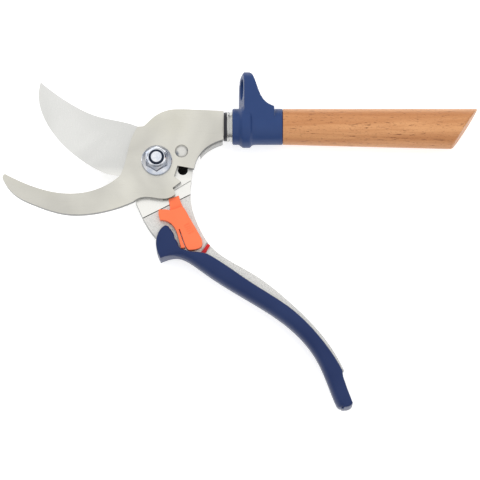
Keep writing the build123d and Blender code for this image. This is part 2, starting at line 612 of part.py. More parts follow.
# ------------------------------------------------------------------ lower lever: grip
with BuildPart() as lower_grip:
    with BuildSketch(Plane.XY.offset(GRIP_BOTTOM)):
        with BuildLine():
            # Edge along the bare aluminium strip, from the latch's bed to the tail.
            Spline(
                (11.4, -41.6), (15.5, -42.8), (20.1, -43.2), (23.9, -44.2), tangents=((1, -0.35), (1, -0.5)),
            )
            Spline(
                (23.9, -44.2), (43.4, -57.2), (62.9, -70.3), (76.8, -85.0), (85.2, -98.1),
                tangents=((1, -0.55), (0.5, -1)),
            )
            Polyline((85.2, -98.1), (85.6, -101.2), (87.4, -106.6), (89.9, -113.2))
            # Rounded tail.
            Spline(
                (89.9, -113.2), (87.6, -115.0), (84.4, -115.1), (80.9, -110.1),
                tangents=((-0.4, -1), (-0.4, 1)),
            )
            # Long outer edge, ending in the flared lobe's lower corner.
            Spline(
                (80.9, -110.1), (73.4, -92.3), (60.6, -77.3), (41.0, -64.1), (21.6, -51.6), (11.6, -45.3),
                (1.9, -46.2), tangents=((-0.4, 1), (-1, -0.5)),
            )
            # Lobe beside the latch.
            Spline(
                (1.9, -46.2), (-0.2, -38.7), (2.0, -32.2), (4.0, -30.7), (5.9, -31.6),
                tangents=((-0.5, 1), (0.6, -1)),
            )
            # Side facing the latch's spring arm, with its detent scallops.
            Polyline((5.9, -31.6), (7.9, -34.3), (8.5, -36.7), (9.9, -38.7), (10.1, -40.1), (11.4, -41.6))
        make_face()
    extrude(amount=GRIP_TOP - GRIP_BOTTOM)
    # Room for the aluminium and the screws from the back.
    add(lower_handle.part, mode=Mode.SUBTRACT)
    for x, y in grip_screws_at:
        with Locations((x, y, GRIP_BOTTOM)):
            Cylinder(GRIP_HEAD_R + SEAT_GAP, 1.55, align=UPRIGHT, mode=Mode.SUBTRACT)
            Cylinder(GRIP_SCREW_R + SEAT_GAP, 8.4, align=UPRIGHT, mode=Mode.SUBTRACT)
    # Rounded front rim.
    fillet(lower_grip.faces().sort_by(Axis.Z)[-1].edges(), GRIP_RIM)
save(lower_grip, "lower_grip")

with BuildPart() as grip_screws:
    for x, y in grip_screws_at:
        with Locations((x, y, GRIP_BOTTOM + 0.3)):
            Cylinder(GRIP_HEAD_R, 1.2, align=UPRIGHT)
            Cylinder(GRIP_SCREW_R, 7.4, align=UPRIGHT)
            Cylinder(GRIP_SOCKET_R, 0.7, align=UPRIGHT, mode=Mode.SUBTRACT)
save(grip_screws, "grip_screws")

# ------------------------------------------------------------------ safety latch
SLIDER_H = 1.4
RIB_H = 1.2
SLIDE_GAP = 0.05        # between the aluminium's back and the slider
with BuildPart() as safety_latch:
    # Thin nose that locks the counter blade.
    with BuildSketch(Plane.XY.offset(LATCH_BOTTOM)):
        Polygon(
            (5.5, -17.8), (10.2, -16.1), (11.0, -19.0), (12.6, -22.6), (6.2, -23.4), (6.1, -21.4), align=None,
        )
    extrude(amount=NOSE_TOP - LATCH_BOTTOM)
    # Body, thumb tab and spring arm.
    with BuildSketch(Plane.XY.offset(LATCH_BOTTOM)):
        with BuildLine():
            Polyline((11.9, -21.4), (13.2, -23.1), (16.1, -28.4), (18.6, -32.7), (20.5, -36.2))
            # Round lower end.
            Spline(
                (20.5, -36.2), (20.4, -40.8), (16.2, -42.1), (12.9, -38.6), tangents=((0.5, -1), (-0.35, 1)),
            )
            # Slit that frees the spring arm, and the arm itself.
            Polyline((12.9, -38.6), (10.7, -32.2), (10.2, -32.4), (12.3, -38.4))
            Spline(
                (12.3, -38.4), (12.95, -41.0), (11.9, -41.2), (10.7, -38.6), tangents=((0.3, -1), (-0.3, 1)),
            )
            Spline((10.7, -38.6), (9.3, -33.6), (7.3, -30.3), (1.6, -27.9), tangents=((-0.3, 1), (-1, 0.1)))
            # Thumb tab.
            Polyline(
                (1.6, -27.9), (0.9, -24.9), (1.0, -23.0), (4.3, -23.0), (6.1, -23.4), (8.8, -22.7),
                (11.9, -21.4),
            )
        make_face()
    extrude(amount=LATCH_TOP - LATCH_BOTTOM)
    # Raised rib at the tab's edge, for the thumb.
    with BuildSketch(Plane.XY.offset(LATCH_TOP)):
        Polygon(
            (1.5, -27.3), (1.2, -24.9), (1.3, -23.3), (3.4, -23.2), (3.2, -25.0), (3.4, -27.6), align=None,
        )
    extrude(amount=RIB_H, taper=18)
    # Stem through the handle's slot.
    with BuildSketch(Plane.XY.offset(LATCH_BOTTOM)):
        with Locations(LATCH_STEM):
            Circle(LATCH_STEM_R)
    extrude(amount=HUB_BOTTOM - SLIDE_GAP - LATCH_BOTTOM)
    with Locations((*LATCH_STEM, 0)):
        Cylinder(LATCH_SCREW_R + 0.02, 2 * (HUB_BOTTOM + 5.0), mode=Mode.SUBTRACT)
save(safety_latch, "safety_latch")

with BuildPart() as latch_slider:
    # Slider on the back of the aluminium, which holds the latch on.
    with BuildSketch(Plane.XY.offset(HUB_BOTTOM - SLIDE_GAP)):
        with Locations(Location((*LATCH_STEM, 0), (0, 0, degrees(LATCH_ANGLE)))):
            RectangleRounded(9.0, 6.4, 1.4)
    extrude(amount=-SLIDER_H)
    with Locations((*LATCH_STEM, 0)):
        Cylinder(LATCH_SCREW_R + SEAT_GAP, THROUGH, mode=Mode.SUBTRACT)
save(latch_slider, "latch_slider")

slider_back = HUB_BOTTOM - SLIDE_GAP - SLIDER_H
SCREW_HEAD_H = 1.1
with BuildPart() as latch_screw:
    with Locations((*LATCH_STEM, slider_back)):
        Cylinder(LATCH_SCREW_R, 5.5, align=UPRIGHT)
    with BuildSketch(Plane.XY.offset(slider_back)):
        with Locations(LATCH_STEM):
            Circle(1.9)
    extrude(amount=-SCREW_HEAD_H)
    fillet(latch_screw.edges().group_by(Axis.Z)[0], 0.4)
    with BuildSketch(Plane.XY.offset(slider_back - SCREW_HEAD_H)):
        with Locations(LATCH_STEM):
            Rectangle(2.6, 0.5)
            Rectangle(0.5, 2.6)
    extrude(amount=0.7, mode=Mode.SUBTRACT)
save(latch_screw, "latch_screw")
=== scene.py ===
"""Looks of the bypass pruning shears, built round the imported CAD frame.

Metres, in the CAD's own frame: the pivot axis is +Z through the origin, +X runs along the beech handle.
"""
import json
import math

import bmesh
import bpy
import numpy as np
from mathutils import Matrix, Vector
from mathutils.geometry import delaunay_2d_cdt


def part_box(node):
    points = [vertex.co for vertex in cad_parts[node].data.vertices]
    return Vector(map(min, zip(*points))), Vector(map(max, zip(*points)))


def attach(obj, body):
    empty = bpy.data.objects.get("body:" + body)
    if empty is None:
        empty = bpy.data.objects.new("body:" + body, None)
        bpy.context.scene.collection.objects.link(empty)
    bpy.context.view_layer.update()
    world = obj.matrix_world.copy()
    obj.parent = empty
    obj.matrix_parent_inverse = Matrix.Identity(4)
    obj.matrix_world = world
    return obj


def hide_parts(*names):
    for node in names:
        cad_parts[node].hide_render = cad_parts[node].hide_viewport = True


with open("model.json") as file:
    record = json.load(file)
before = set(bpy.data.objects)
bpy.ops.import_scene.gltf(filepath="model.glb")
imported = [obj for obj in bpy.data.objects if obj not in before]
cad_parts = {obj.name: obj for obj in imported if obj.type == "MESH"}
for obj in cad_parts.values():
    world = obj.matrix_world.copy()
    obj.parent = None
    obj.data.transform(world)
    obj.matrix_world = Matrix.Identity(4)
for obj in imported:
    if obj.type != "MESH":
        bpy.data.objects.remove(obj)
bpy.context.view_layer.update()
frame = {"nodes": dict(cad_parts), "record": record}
NODES = frame["nodes"]
MM = 0.001


# ------------------------------------------------------------------ camera
PLATE_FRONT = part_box("counter_blade")[1].z
VIEW_CENTRE = Vector((38.5 * MM, -37.5 * MM, PLATE_FRONT))
VIEW_WIDTH = 220.8 * MM
VIEW_ELEVATION = math.radians(78.3)
VIEW_DISTANCE = 1.45
SENSOR = 36.0


def add_camera():
    """Long lens, looking down from just in front of the shears."""
    data = bpy.data.cameras.new("camera")
    data.sensor_width = SENSOR
    data.lens = SENSOR * VIEW_DISTANCE / VIEW_WIDTH
    data.clip_start = 0.05
    data.clip_end = 20
    camera = bpy.data.objects.new("camera", data)
    back = Vector((0, -math.cos(VIEW_ELEVATION), math.sin(VIEW_ELEVATION)))
    camera.location = VIEW_CENTRE + back * VIEW_DISTANCE
    camera.rotation_euler = (-back).to_track_quat("-Z", "Y").to_euler()
    bpy.context.scene.collection.objects.link(camera)
    bpy.context.scene.camera = camera


add_camera()
bpy.context.scene.view_settings.view_transform = "Standard"


# ------------------------------------------------------------------ material helpers
class Shader:
    """A node material on one Principled shader, with short calls for the nodes used here."""

    def __init__(self, name, roughness, metallic=0.0, **sockets):
        self.material = bpy.data.materials.new(name)
        self.material.use_nodes = True
        self.tree = self.material.node_tree
        self.bsdf = self.tree.nodes["Principled BSDF"]
        self.bsdf.inputs["Roughness"].default_value = roughness
        self.bsdf.inputs["Metallic"].default_value = metallic
        for socket, value in sockets.items():
            self.bsdf.inputs[socket.replace("_", " ")].default_value = value
        self.place = self.node("ShaderNodeTexCoord").outputs["Object"]

    def node(self, kind, **attributes):
        made = self.tree.nodes.new(kind)
        for key, value in attributes.items():
            setattr(made, key, value)
        return made

    def feed(self, socket, value):
        """Link an output to a socket, or set the socket to a plain value."""
        if isinstance(value, bpy.types.NodeSocket):
            self.tree.links.new(value, socket)
        else:
            socket.default_value = value

    def stretched(self, scale):
        """Object coordinates times a scale, in features per metre along each axis."""
        mapping = self.node("ShaderNodeMapping")
        self.feed(mapping.inputs["Vector"], self.place)
        mapping.inputs["Scale"].default_value = scale
        return mapping.outputs["Vector"]

    def noise(self, scale, detail=3.0, rough=0.5, distortion=0.0):
        """Noise in 0..1. scale is features per metre, one number or one for each axis."""
        if not isinstance(scale, tuple):
            scale = (scale, scale, scale)
        made = self.node("ShaderNodeTexNoise")
        self.feed(made.inputs["Vector"], self.stretched(scale))
        made.inputs["Scale"].default_value = 1.0
        made.inputs["Detail"].default_value = detail
        made.inputs["Roughness"].default_value = rough
        made.inputs["Distortion"].default_value = distortion
        return made.outputs["Fac"]

    def ramp(self, value, low, high, from_value=0.0, to_value=1.0):
        """value moved from the span low..high to from_value..to_value, clamped."""
        made = self.node("ShaderNodeMapRange")
        self.feed(made.inputs["Value"], value)
        made.inputs["From Min"].default_value = low
        made.inputs["From Max"].default_value = high
        made.inputs["To Min"].default_value = from_value
        made.inputs["To Max"].default_value = to_value
        return made.outputs["Result"]

    def math(self, operation, a, b=0.0):
        made = self.node("ShaderNodeMath", operation=operation)
        self.feed(made.inputs[0], a)
        self.feed(made.inputs[1], b)
        return made.outputs[0]

    def mix(self, factor, a, b):
        """Colour a at factor 0, colour b at factor 1."""
        made = self.node("ShaderNodeMix", data_type="RGBA")
        self.feed(made.inputs["Factor"], factor)
        for socket, value in ((made.inputs[6], a), (made.inputs[7], b)):
            self.feed(socket, (*value, 1.0) if isinstance(value, tuple) else value)
        return made.outputs[2]

    def axis(self, letter):
        """One object coordinate, in metres."""
        made = self.node("ShaderNodeSeparateXYZ")
        self.feed(made.inputs[0], self.place)
        return made.outputs[letter]

    def wall(self, face, edge):
        """One colour on faces that look up or down, another on upright walls such as a blanked edge: painted
        shade for the shadow those walls sit in.
        """
        made = self.node("ShaderNodeSeparateXYZ")
        self.feed(made.inputs[0], self.node("ShaderNodeNewGeometry").outputs["True Normal"])
        return self.mix(self.ramp(self.math("ABSOLUTE", made.outputs["Z"]), 0.2, 0.75), edge, face)

    def colour(self, value):
        self.feed(self.bsdf.inputs["Base Color"], (*value, 1.0) if isinstance(value, tuple) else value)

    def roughness(self, value):
        self.feed(self.bsdf.inputs["Roughness"], value)

    def bump(self, height, depth, strength=1.0):
        """Surface relief. depth is its height in metres."""
        made = self.node("ShaderNodeBump")
        made.inputs["Strength"].default_value = strength
        made.inputs["Distance"].default_value = depth
        self.feed(made.inputs["Height"], height)
        self.tree.links.new(made.outputs["Normal"], self.bsdf.inputs["Normal"])


def srgb(red, green, blue):
    """A colour given in 0..255 as linear light."""
    return tuple(
        (c / 255 / 12.92) if c <= 10 else ((c / 255 + 0.055) / 1.055) ** 2.4 for c in (red, green, blue)
    )


# ------------------------------------------------------------------ materials
STEEL_CLOUDS = 24          # features per metre
STEEL_GRAIN = 2600
MOULD_GRAIN = 2600
MOULD_RELIEF = 0.00002     # metres


def tumbled_steel(name, light, dark, roughness=0.33):
    """Satin stainless steel: soft cloudy tone, fine grain, faint handling marks, and painted shade on its
    upright walls.
    """
    s = Shader(name, roughness, metallic=1.0)
    clouds = s.ramp(s.noise(STEEL_CLOUDS, 3.0, 0.5, 0.6), 0.34, 0.66)
    base = s.mix(clouds, dark, light)
    warm = s.ramp(s.noise(STEEL_CLOUDS * 1.7, 2.0), 0.5, 0.75, 0.0, 0.35)
    base = s.mix(warm, base, srgb(206, 203, 186))
    speck = s.ramp(s.noise(STEEL_GRAIN, 2.0), 0.35, 0.65, 0.0, 0.05)
    marks = s.ramp(s.noise((90, 2300, 400), 2.0, 0.55, 0.3), 0.62, 0.72, 0.0, 0.10)
    face = s.mix(s.math("ADD", speck, marks), base, tuple(0.55 * c for c in dark))
    # Upright walls get a flat grey as painted shade.
    s.colour(s.wall(face, srgb(118, 118, 118)))
    s.roughness(s.ramp(s.noise(STEEL_GRAIN * 0.6, 2.0), 0.3, 0.7, roughness - 0.05, roughness + 0.07))
    s.bump(s.noise(STEEL_GRAIN, 3.0), 0.000008)
    return s.material


TANG_BRIGHT = -0.008       # below this y, in metres, the tang is drawn brighter
TANG_DULL = -0.002         # above this y it has the blade's


def blade_steel():
    """Ground and polished blade: very fine lines across it, on a slow drift of tone."""
    s = Shader("blade_steel", 0.28, metallic=1.0)
    lines = s.noise((5200, 260, 400), 2.0, 0.6)
    clouds = s.ramp(s.noise(20, 3.0, 0.5, 0.5), 0.35, 0.65)
    base = s.mix(clouds, srgb(205, 205, 202), srgb(224, 224, 221))
    face = s.mix(s.ramp(lines, 0.4, 0.62, 0.0, 0.03), base, srgb(150, 150, 150))
    # Below the pivot the tang is drawn brighter than the blade.
    face = s.mix(s.ramp(s.axis("Y"), TANG_BRIGHT, TANG_DULL, 1.0, 0.0), face, srgb(238, 237, 232))
    # Upright walls get a flat grey as painted shade.
    s.colour(s.wall(face, srgb(128, 128, 128)))
    s.roughness(s.ramp(lines, 0.35, 0.65, 0.27, 0.32))
    s.bump(lines, 0.0000015)
    return s.material


def cast_aluminium(name, light, dark):
    """Fine sand-cast skin: pale, with grey specks in two sizes and a pebbled relief, and painted shade in the
    dark colour on its upright walls.
    """
    s = Shader(name, 0.5, metallic=0.8)
    coarse = s.ramp(s.noise(2100, 2.0, 0.6), 0.47, 0.66, 0.0, 0.62)
    fine = s.ramp(s.noise(4400, 2.0, 0.6), 0.47, 0.64, 0.0, 0.5)
    s.colour(s.wall(s.mix(s.math("MAXIMUM", coarse, fine), light, dark), dark))
    s.roughness(s.ramp(s.noise(1300, 2.0), 0.3, 0.7, 0.4, 0.62))
    s.bump(s.noise(1500, 3.0, 0.6), 0.00008, 0.9)
    return s.material


def zinc_steel():
    """Bright zinc plating: a cool tint that drifts, and painted steel-blue shade on its upright flats."""
    s = Shader("zinc_steel", 0.14, metallic=1.0)
    drift = s.ramp(s.noise(260, 3.0), 0.35, 0.65)
    face = s.mix(drift, srgb(196, 204, 219), srgb(238, 239, 242))
    s.colour(s.wall(face, srgb(140, 148, 164)))
    s.roughness(s.ramp(s.noise(900, 2.0), 0.3, 0.7, 0.10, 0.22))
    s.bump(s.noise(1400, 2.0), 0.00001)
    return s.material


def plain_steel(name, colour, roughness):
    s = Shader(name, roughness, metallic=1.0)
    s.colour(s.mix(s.noise(900, 2.0), colour, tuple(0.8 * c for c in colour)))
    s.bump(s.noise(2200, 2.0), 0.00001)
    return s.material


def moulded(name, colour, shade, roughness, level=0.3):
    """Moulded plastic: faint tone drift and a fine spark-eroded grain."""
    s = Shader(name, roughness, Specular_IOR_Level=level)
    s.colour(s.mix(s.ramp(s.noise(45, 2.0), 0.35, 0.65), colour, shade))
    s.roughness(s.ramp(s.noise(MOULD_GRAIN * 0.5, 2.0), 0.3, 0.7, roughness - 0.05, roughness + 0.07))
    s.bump(s.noise(MOULD_GRAIN, 2.0, 0.6), MOULD_RELIEF, 0.7)
    return s.material


def beech():
    """Varnished beech: soft growth bands, fibre streaks and short dark flecks along the handle."""
    s = Shader("beech", 0.42, Specular_IOR_Level=0.3, Coat_Weight=0.1, Coat_Roughness=0.3)
    bands = s.ramp(s.noise((10, 170, 170), 3.0, 0.55, 0.6), 0.36, 0.64)
    fibres = s.ramp(s.noise((60, 1300, 1300), 3.0, 0.6), 0.3, 0.7)
    base = s.mix(bands, srgb(182, 123, 77), srgb(210, 153, 104))
    base = s.mix(s.math("MULTIPLY", fibres, 0.45), base, srgb(176, 118, 72))
    flecks = s.ramp(s.noise((260, 1900, 1900), 2.0, 0.5), 0.63, 0.70)
    base = s.mix(s.math("MULTIPLY", flecks, 0.85), base, srgb(112, 64, 34))
    pores = s.ramp(s.noise((900, 4200, 4200), 1.0, 0.5), 0.62, 0.70)
    s.colour(s.mix(s.math("MULTIPLY", pores, 0.55), base, srgb(128, 74, 44)))
    s.roughness(s.ramp(fibres, 0.0, 1.0, 0.36, 0.52))
    s.bump(s.math("SUBTRACT", s.math("MULTIPLY", fibres, 0.35), flecks), 0.00006, 0.7)
    return s.material


MATERIALS = {
    "hook_steel": tumbled_steel("hook_steel", srgb(227, 225, 215), srgb(198, 196, 188)),
    "blade_steel": blade_steel(),
    "rivet_steel": tumbled_steel("rivet_steel", srgb(222, 221, 216), srgb(208, 207, 202), roughness=0.32),
    "collar_steel": plain_steel("collar_steel", srgb(208, 208, 205), 0.25),
    "zinc_steel": zinc_steel(),
    "screw_steel": plain_steel("screw_steel", srgb(178, 178, 180), 0.3),
    "spring_steel": plain_steel("spring_steel", srgb(120, 120, 126), 0.35),
    "bronze": plain_steel("bronze", srgb(186, 148, 98), 0.35),
    "bracket_aluminium": cast_aluminium("bracket_aluminium", srgb(216, 215, 212), srgb(180, 180, 178)),
    "cast_aluminium": cast_aluminium("cast_aluminium", srgb(234, 233, 229), srgb(152, 152, 150)),
    "blue_nylon": moulded("blue_nylon", srgb(28, 54, 102), srgb(34, 59, 107), 0.40),
    "blue_grip": moulded("blue_grip", srgb(26, 42, 83), srgb(32, 48, 89), 0.34, level=0.2),
    "orange_nylon": moulded("orange_nylon", srgb(248, 124, 82), srgb(244, 116, 74), 0.42, level=0.25),
    "red_mark": moulded("red_mark", srgb(206, 30, 38), srgb(190, 24, 32), 0.4),
    # Near-black seal in the gap at the neck: partly a real part, partly a dark piece standing in for the
    # shade in that gap.
    "black_seal": moulded("black_seal", srgb(38, 38, 44), srgb(46, 46, 52), 0.4),
    # Rubber drawn near black, partly its own colour and partly painted shade for the deep hollow it sits in.
    "black_rubber": moulded("black_rubber", srgb(14, 14, 15), srgb(18, 18, 19), 0.65, level=0.15),
    "ring_nylon": moulded("ring_nylon", srgb(8, 22, 42), srgb(10, 27, 50), 0.3),
    "beech": beech(),
}
SLOT_OF = {entry["node"]: entry["material_slot"] for entry in frame["record"]["subparts"]}
for node_name, node_object in NODES.items():
    node_object.data.materials.clear()
    node_object.data.materials.append(MATERIALS[SLOT_OF[node_name]])


# ------------------------------------------------------------------ mesh helpers
def body_of(node):
    return next(b for b, members in frame["record"]["behaviour"]["bodies"].items() if node in members)


def stand_for(piece, node):
    """The piece takes a CAD node's place, body, slot and material."""
    piece.data.materials.clear()
    piece.data.materials.append(MATERIALS[SLOT_OF[node]])
    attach(piece, body_of(node))
    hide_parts(node)


def linked(mesh, name):
    """A new object in the scene from a bmesh, which is freed."""
    data = bpy.data.meshes.new(name)
    mesh.to_mesh(data)
    mesh.free()
    piece = bpy.data.objects.new(name, data)
    bpy.context.scene.collection.objects.link(piece)
    return piece


def smooth_piece(mesh, name):
    """The same, with its faces turned outwards and shaded smooth."""
    bmesh.ops.recalc_face_normals(mesh, faces=mesh.faces)
    for face in mesh.faces:
        face.smooth = True
    return linked(mesh, name)


def baked(source, name):
    """A new object holding source's mesh with its modifiers applied. source is removed."""
    graph = bpy.context.evaluated_depsgraph_get()
    mesh = bpy.data.meshes.new_from_object(source.evaluated_get(graph))
    mesh.name = name
    bpy.data.objects.remove(source)
    piece = bpy.data.objects.new(name, mesh)
    bpy.context.scene.collection.objects.link(piece)
    return piece


def softened(node, name, voxel, steps):
    """A copy of a CAD node with its edges moulded round: remeshed in voxels, then smoothed."""
    source = bpy.data.objects.new(name + "_source", NODES[node].data.copy())
    bpy.context.scene.collection.objects.link(source)
    remesh = source.modifiers.new("remesh", "REMESH")
    remesh.mode = "VOXEL"
    remesh.voxel_size = voxel
    smooth = source.modifiers.new("smooth", "SMOOTH")
    smooth.factor = 0.5
    smooth.iterations = steps
    piece = baked(source, name)
    piece.data.polygons.foreach_set("use_smooth", [True] * len(piece.data.polygons))
    return piece


def bevelled(node, name, width):
    """A copy of a CAD node with small rounded edges."""
    source = bpy.data.objects.new(name + "_source", NODES[node].data.copy())
    bpy.context.scene.collection.objects.link(source)
    weld = source.modifiers.new("weld", "WELD")
    weld.merge_threshold = 0.000002
    flat = source.modifiers.new("flat", "DECIMATE")
    flat.decimate_type = "DISSOLVE"
    flat.angle_limit = math.radians(1)
    bevel = source.modifiers.new("bevel", "BEVEL")
    bevel.width = width
    bevel.segments = 2
    bevel.limit_method = "ANGLE"
    bevel.angle_limit = math.radians(35)
    bevel.harden_normals = True
    return baked(source, name)


# ------------------------------------------------------------------ pieces
def add_bolster():
    piece = softened("bolster", "bolster_moulding", voxel=0.3 * MM, steps=6)
    stand_for(piece, "bolster")


def add_latch():
    piece = softened("safety_latch", "latch_moulding", voxel=0.16 * MM, steps=4)
    stand_for(piece, "safety_latch")


RIM_ROUND = 1.3 * MM        # rounding of every edge of the grip
SIDE_ROUND = 5.4 * MM       # half round of its long outer side
SIDE_DEPTH = 0.8            # how much of half the grip's thickness the half round takes
OUTER_FACING = 0.25         # least Y of the inward direction on the outer side
OUTER_START = 2 * MM        # where the outer side starts and ends, from the grip's two ends
OUTER_END = 5 * MM
OUTER_NEAR = 0.25 * MM
FADE_START = 3 * MM         # the half round grows from here, over FADE_IN
FADE_IN = 9 * MM
FADE_OUT = 7 * MM
OUTLINE_STEP = 0.35 * MM    # spacing of the points along the outline
GRIP_GRID = 0.6 * MM        # spacing of the points inside it
GRID_CLEAR = 0.3            # gap between the last row and the grid, mm
INSETS = [0.06, 0.2, 0.45, 0.8, 1.25, 2.0, 3.0, 4.2, 5.4]     # rows of points inside the outline, mm
SPARSE_FROM = 1             # rows this deep or deeper keep every other point, mm
ROW_CLEAR = 0.93            # a row's point stays if this share of its inset is clear of the outline
FLAT_TOLERANCE = 0.01 * MM
ON_EDGE = 0.02 * MM
MERGE = 1e-7
RECESS_R = 1.65 * MM        # recess of a grip screw, from the back
RECESS_DEPTH = 1.55 * MM
CUTTER_BELOW = 5 * MM


def outline(node, height):
    """The longest closed outline of a node's flat face at a height: even points, anticlockwise."""
    mesh = bmesh.new()
    mesh.from_mesh(NODES[node].data)
    bmesh.ops.remove_doubles(mesh, verts=mesh.verts, dist=0.000001)
    face_edges = {}
    for face in mesh.faces:
        if all(abs(v.co.z - height) < FLAT_TOLERANCE for v in face.verts):
            for edge in face.edges:
                face_edges[edge] = face_edges.get(edge, 0) + 1
    links = {}
    for edge, uses in face_edges.items():
        if uses == 1:
            a, b = edge.verts
            links.setdefault(a, []).append(b)
            links.setdefault(b, []).append(a)
    loops = []
    left = set(links)
    while left:
        first = min(left, key=lambda v: (v.co.x, v.co.y))
        loop, previous, here = [], None, first
        while here in left:
            left.discard(here)
            loop.append((here.co.x, here.co.y))
            onward = [v for v in links[here] if v is not previous and v in left]
            previous, here = here, onward[0] if onward else first
        loops.append(np.array(loop))
    mesh.free()
    longest = max(loops, key=lambda loop: np.linalg.norm(loop - np.roll(loop, -1, axis=0), axis=1).sum())
    x, y = longest[:, 0], longest[:, 1]
    if (x * np.roll(y, -1) - np.roll(x, -1) * y).sum() < 0:
        longest = longest[::-1]
    closed = np.vstack([longest, longest[:1]])
    run = np.concatenate([[0], np.cumsum(np.linalg.norm(np.diff(closed, axis=0), axis=1))])
    count = int(run[-1] / OUTLINE_STEP)
    steps = np.arange(count) * (run[-1] / count)
    return np.column_stack([np.interp(steps, run, closed[:, 0]), np.interp(steps, run, closed[:, 1])])


def edge_distance(spots, line):
    """Distance from each spot to the nearest of a row of closely spaced points."""
    return np.sqrt(((spots[:, None, :] - line[None, :, :]) ** 2).sum(2)).min(1)


def inside(spots, line):
    """True for each spot that lies within a closed line."""
    x, y = spots[:, 0:1], spots[:, 1:2]
    x0, y0 = line[:, 0], line[:, 1]
    x1, y1 = np.roll(x0, -1), np.roll(y0, -1)
    crosses = (y0 > y) != (y1 > y)
    with np.errstate(divide="ignore", invalid="ignore"):
        at = x0 + (y - y0) / (y1 - y0) * (x1 - x0)
    return ((crosses & (x < at)).sum(1) % 2) == 1


def quarter(distance, radius):
    """Height lost to a quarter round, as a fraction, at a distance in from the edge."""
    t = np.clip(1 - distance / radius, 0, 1)
    return 1 - np.sqrt(1 - t * t)


def screw_centres(node):
    """Centres of a node's two screws, told apart by the widest gap between them along X."""
    spots = sorted((v.co.x, v.co.y) for v in NODES[node].data.vertices)
    split = max(range(1, len(spots)), key=lambda i: spots[i][0] - spots[i - 1][0])
    return [(np.min(group, axis=0) + np.max(group, axis=0)) / 2 for group in (spots[:split], spots[split:])]


def recess_cutter(spot, top):
    """Round cutter from below the shears up to a height."""
    mesh = bmesh.new()
    depth = top + CUTTER_BELOW
    middle = Matrix.Translation((spot[0], spot[1], top - depth / 2))
    bmesh.ops.create_cone(
        mesh, cap_ends=True, segments=48, radius1=RECESS_R, radius2=RECESS_R, depth=depth, matrix=middle,
    )
    return linked(mesh, "recess_cutter")


def cut(piece, cutter):
    """Take a cutter's solid out of a piece, as a modifier."""
    modifier = piece.modifiers.new("cut", "BOOLEAN")
    modifier.operation = "DIFFERENCE"
    modifier.solver = "EXACT"
    modifier.object = cutter


def add_grip():
    """The grip, swept round along its outer side and softly rounded elsewhere."""
    low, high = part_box("lower_grip")
    line = outline("lower_grip", low.z)
    ahead = np.roll(line, -1, axis=0) - np.roll(line, 1, axis=0)
    inward = np.column_stack([-ahead[:, 1], ahead[:, 0]]) / np.linalg.norm(ahead, axis=1)[:, None]
    # The outer side faces away from the beech handle.
    between_ends = (line[:, 0] > low.x + OUTER_START) & (line[:, 0] < high.x - OUTER_END)
    outer_line = line[(inward[:, 1] > OUTER_FACING) & between_ends]
    rows = [line]
    for inset in INSETS:
        row = line + inward * inset * MM
        kept = row[edge_distance(row, line) > ROW_CLEAR * inset * MM]
        rows.append(kept if inset < SPARSE_FROM else kept[::2])
    across = np.arange(low.x, high.x, GRIP_GRID)
    up = np.arange(low.y, high.y, GRIP_GRID)
    grid = np.array([(x, y) for x in across for y in up])
    grid = grid[inside(grid, line)]
    rows.append(grid[edge_distance(grid, line) > (INSETS[-1] + GRID_CLEAR) * MM])
    spots = np.vstack(rows)
    count = len(line)
    ring = [(i, (i + 1) % count) for i in range(count)]
    meshed = delaunay_2d_cdt([Vector(p) for p in spots], ring, [], 1, MERGE)
    flat = np.array([tuple(p) for p in meshed[0]])
    triangles = meshed[2]
    any_edge = edge_distance(flat, line)
    any_edge[any_edge < ON_EDGE] = 0
    from_outer = edge_distance(flat, outer_line)
    half = (high.z - low.z) / 2
    # Near the outer side's ends the half round fades into the small rounding.
    fade_in = np.clip((flat[:, 0] - low.x - FADE_START) / FADE_IN, 0, 1)
    fade_out = np.clip((high.x - flat[:, 0]) / FADE_OUT, 0, 1)
    fade = fade_in * fade_out
    side_drop = quarter(from_outer, SIDE_ROUND) * half * SIDE_DEPTH * fade
    drop = np.maximum(quarter(any_edge, RIM_ROUND) * RIM_ROUND, side_drop)
    rim_drop = RIM_ROUND + (half * SIDE_DEPTH - RIM_ROUND) * fade * (from_outer < OUTER_NEAR)
    mesh = bmesh.new()
    tops, bottoms = [], []
    for spot, lost, wall, gap in zip(flat, drop, rim_drop, any_edge):
        fall = wall if gap == 0 else lost
        tops.append(mesh.verts.new((spot[0], spot[1], high.z - fall)))
        bottoms.append(mesh.verts.new((spot[0], spot[1], low.z + fall)))
    for corners in triangles:
        mesh.faces.new([tops[i] for i in corners])
        mesh.faces.new([bottoms[i] for i in reversed(corners)])
    # A triangle's side that no other triangle shares is on the outline, and gets a wall.
    sides = {}
    for corners in triangles:
        for i, here in enumerate(corners):
            sides[(here, corners[(i + 1) % len(corners)])] = True
    for here, onward in sides:
        if (onward, here) not in sides:
            mesh.faces.new((tops[onward], tops[here], bottoms[here], bottoms[onward]))
    piece = smooth_piece(mesh, "grip_moulding")
    # Room for the aluminium arm, then for the screws' heads.
    cut(piece, NODES["lower_handle"])
    cutters = [recess_cutter(spot, low.z + RECESS_DEPTH) for spot in screw_centres("grip_screws")]
    for cutter in cutters:
        cut(piece, cutter)
    piece = baked(piece, "grip_moulding")
    for cutter in cutters:
        bpy.data.objects.remove(cutter)
    stand_for(piece, "lower_grip")


def add_hook_plate():
    """Counter blade with its edges just broken."""
    hook = bevelled("counter_blade", "hook_plate", width=0.22 * MM)
    stand_for(hook, "counter_blade")


RING_TURNS = 96
# Section of the nut ring's lip in mm: how far in from the ring's outer radius, and how far up.
LIP_OUTSIDE = [(0.0, -0.2), (0.2, 0.08), (0.6, 0.34)]                           # up from the nut's crown
LIP_INSIDE = [(0.92, -0.06), (1.06, -0.05), (1.05, -0.16), (0.56, -0.6)]        # up from the bolt's end


